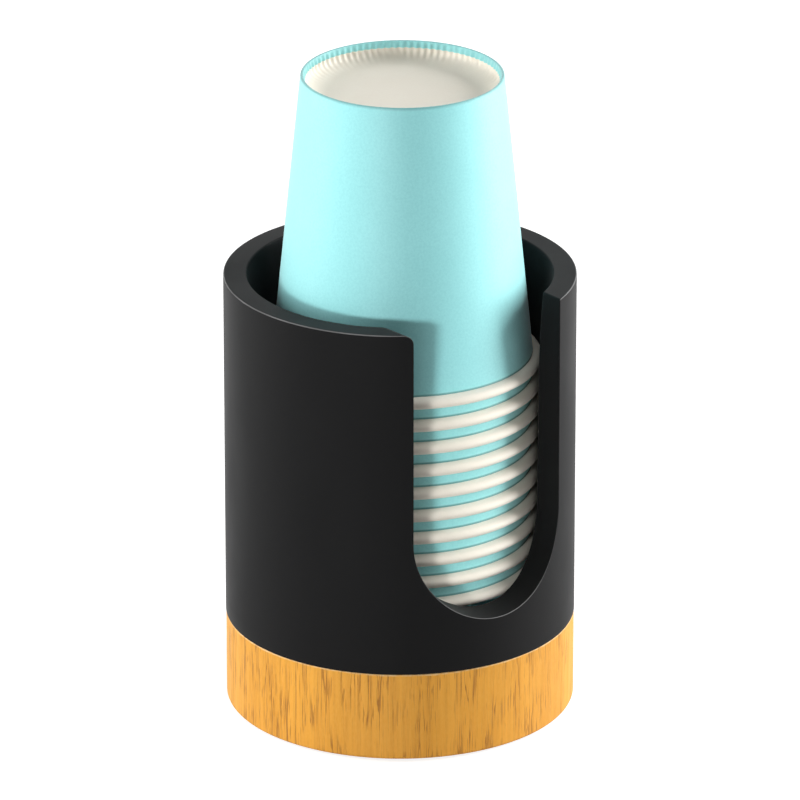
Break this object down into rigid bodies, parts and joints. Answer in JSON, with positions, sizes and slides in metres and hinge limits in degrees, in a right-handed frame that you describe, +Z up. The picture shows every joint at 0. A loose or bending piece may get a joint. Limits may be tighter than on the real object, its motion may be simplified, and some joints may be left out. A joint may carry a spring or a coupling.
{
  "type": "cup dispenser",
  "caption": "Round bathroom cup dispenser: a black slotted cylinder on a turned wooden base, holding a nest of upturned paper cups that lift off one by one.",
  "frame": {"origin": "centre of the non-slip pad's underside, on the surface that the dispenser stands on", "axes": "+Z up along the holder's axis; the slot that shows the cups faces -Y; +X to the right of someone facing the slot"},
  "size_m": [0.085, 0.085, 0.1604],
  "materials": {
    "black_resin": "satin",
    "pale_wood": "satin lacquer",
    "grey_foam": "matte",
    "zinc_steel": "zinc plated",
    "teal_paper": "coated",
    "white_paper": "uncoated"
  },
  "bodies": {
    "holder": {"holder_body": "black_resin", "wood_base": "pale_wood", "base_pad": "grey_foam", "base_screw_1": "zinc_steel", "base_screw_2": "zinc_steel", "base_screw_3": "zinc_steel"},
    "cup_01": {"cup_01_wall": "teal_paper", "cup_01_bottom": "white_paper"},
    "cup_02": {"cup_02_wall": "teal_paper", "cup_02_bottom": "white_paper"},
    "cup_03": {"cup_03_wall": "teal_paper", "cup_03_bottom": "white_paper"},
    "cup_04": {"cup_04_wall": "teal_paper", "cup_04_bottom": "white_paper"},
    "cup_05": {"cup_05_wall": "teal_paper", "cup_05_bottom": "white_paper"},
    "cup_06": {"cup_06_wall": "teal_paper", "cup_06_bottom": "white_paper"},
    "cup_07": {"cup_07_wall": "teal_paper", "cup_07_bottom": "white_paper"},
    "cup_08": {"cup_08_wall": "teal_paper", "cup_08_bottom": "white_paper"},
    "cup_09": {"cup_09_wall": "teal_paper", "cup_09_bottom": "white_paper"},
    "cup_10": {"cup_10_wall": "teal_paper", "cup_10_bottom": "white_paper"},
    "cup_11": {"cup_11_wall": "teal_paper", "cup_11_bottom": "white_paper"}
  },
  "joints": [
    {"name": "cup_01_lift", "type": "slide", "parent": "holder", "child": "cup_01", "axis": [0, 0, 1], "range_m": [0, 0.085]},
    {"name": "cup_02_lift", "type": "slide", "parent": "cup_01", "child": "cup_02", "axis": [0, 0, 1], "range_m": [0, 0.0792]},
    {"name": "cup_03_lift", "type": "slide", "parent": "cup_02", "child": "cup_03", "axis": [0, 0, 1], "range_m": [0, 0.0734]},
    {"name": "cup_04_lift", "type": "slide", "parent": "cup_03", "child": "cup_04", "axis": [0, 0, 1], "range_m": [0, 0.0716]},
    {"name": "cup_05_lift", "type": "slide", "parent": "cup_04", "child": "cup_05", "axis": [0, 0, 1], "range_m": [0, 0.0716]},
    {"name": "cup_06_lift", "type": "slide", "parent": "cup_05", "child": "cup_06", "axis": [0, 0, 1], "range_m": [0, 0.0716]},
    {"name": "cup_07_lift", "type": "slide", "parent": "cup_06", "child": "cup_07", "axis": [0, 0, 1], "range_m": [0, 0.0716]},
    {"name": "cup_08_lift", "type": "slide", "parent": "cup_07", "child": "cup_08", "axis": [0, 0, 1], "range_m": [0, 0.0716]},
    {"name": "cup_09_lift", "type": "slide", "parent": "cup_08", "child": "cup_09", "axis": [0, 0, 1], "range_m": [0, 0.0716]},
    {"name": "cup_10_lift", "type": "slide", "parent": "cup_09", "child": "cup_10", "axis": [0, 0, 1], "range_m": [0, 0.0716]},
    {"name": "cup_11_lift", "type": "slide", "parent": "cup_10", "child": "cup_11", "axis": [0, 0, 1], "range_m": [0, 0.0716]}
  ]
}
